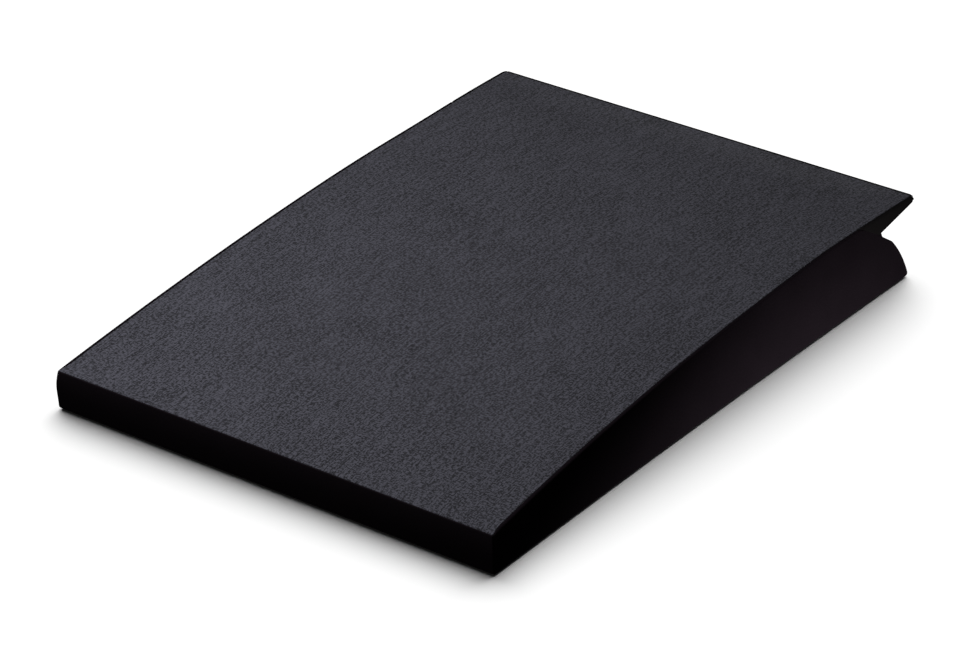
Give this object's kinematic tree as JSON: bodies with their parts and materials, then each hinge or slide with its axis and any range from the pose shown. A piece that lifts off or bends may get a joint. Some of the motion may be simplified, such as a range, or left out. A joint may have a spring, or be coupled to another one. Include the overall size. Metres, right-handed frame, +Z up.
{
  "type": "slant board",
  "caption": "Low foam wedge with a stiff top sheet and a zipped cloth cover; a thin lip overhangs a finger groove at its tall end.",
  "frame": {"origin": "middle of the base, on the floor that the grip strips rest on", "axes": "+X across the board, +Y from the low edge up to the tall end, +Z up"},
  "size_m": [0.5, 0.708, 0.0863],
  "materials": {
    "top_cloth": "charcoal melange weave",
    "side_cloth": "smooth black stretch cloth",
    "gusset_cloth": "smooth black stretch cloth",
    "base_cloth": "plain black backing cloth",
    "grip_rubber": "matt silicone rubber",
    "board_sheet": "plain sheet",
    "upper_foam": "open-cell foam",
    "base_foam": "firm open-cell foam",
    "hook_tape": "hook-and-loop",
    "zip_tape": "woven tape",
    "zip_coil": "nylon coil",
    "zip_metal": "black enamel"
  },
  "bodies": {
    "board": {"top_panel": "top_cloth", "front_panel": "side_cloth", "left_side_panel": "side_cloth", "right_side_panel": "side_cloth", "left_lip_gusset": "gusset_cloth", "right_lip_gusset": "gusset_cloth", "lip_panel": "gusset_cloth", "rear_upper_panel": "side_cloth", "rear_lower_panel": "side_cloth", "base_panel": "base_cloth", "grip_strips": "grip_rubber", "top_board": "board_sheet", "upper_foam": "upper_foam", "lip_foam": "upper_foam", "base_foam": "base_foam", "root_hook_tape": "hook_tape", "root_loop_tape": "hook_tape", "zip_tape_upper": "zip_tape", "zip_tape_lower": "zip_tape", "zip_coil_upper": "zip_coil", "zip_coil_lower": "zip_coil", "zip_top_stops": "zip_metal", "zip_bottom_stop": "zip_metal"},
    "slider": {"zip_slider": "zip_metal"},
    "pull": {"zip_pull": "zip_metal"}
  },
  "joints": [
    {"name": "zip_travel", "type": "slide", "parent": "board", "child": "slider", "axis": [1, 0, 0], "range_m": [-0.43, 0]},
    {"name": "pull_swing", "type": "hinge", "parent": "slider", "child": "pull", "pos_m": [0.215, 0.33435, 0.02942], "axis": [0, 0.5391, -0.8423], "range_deg": [0, 170]}
  ]
}
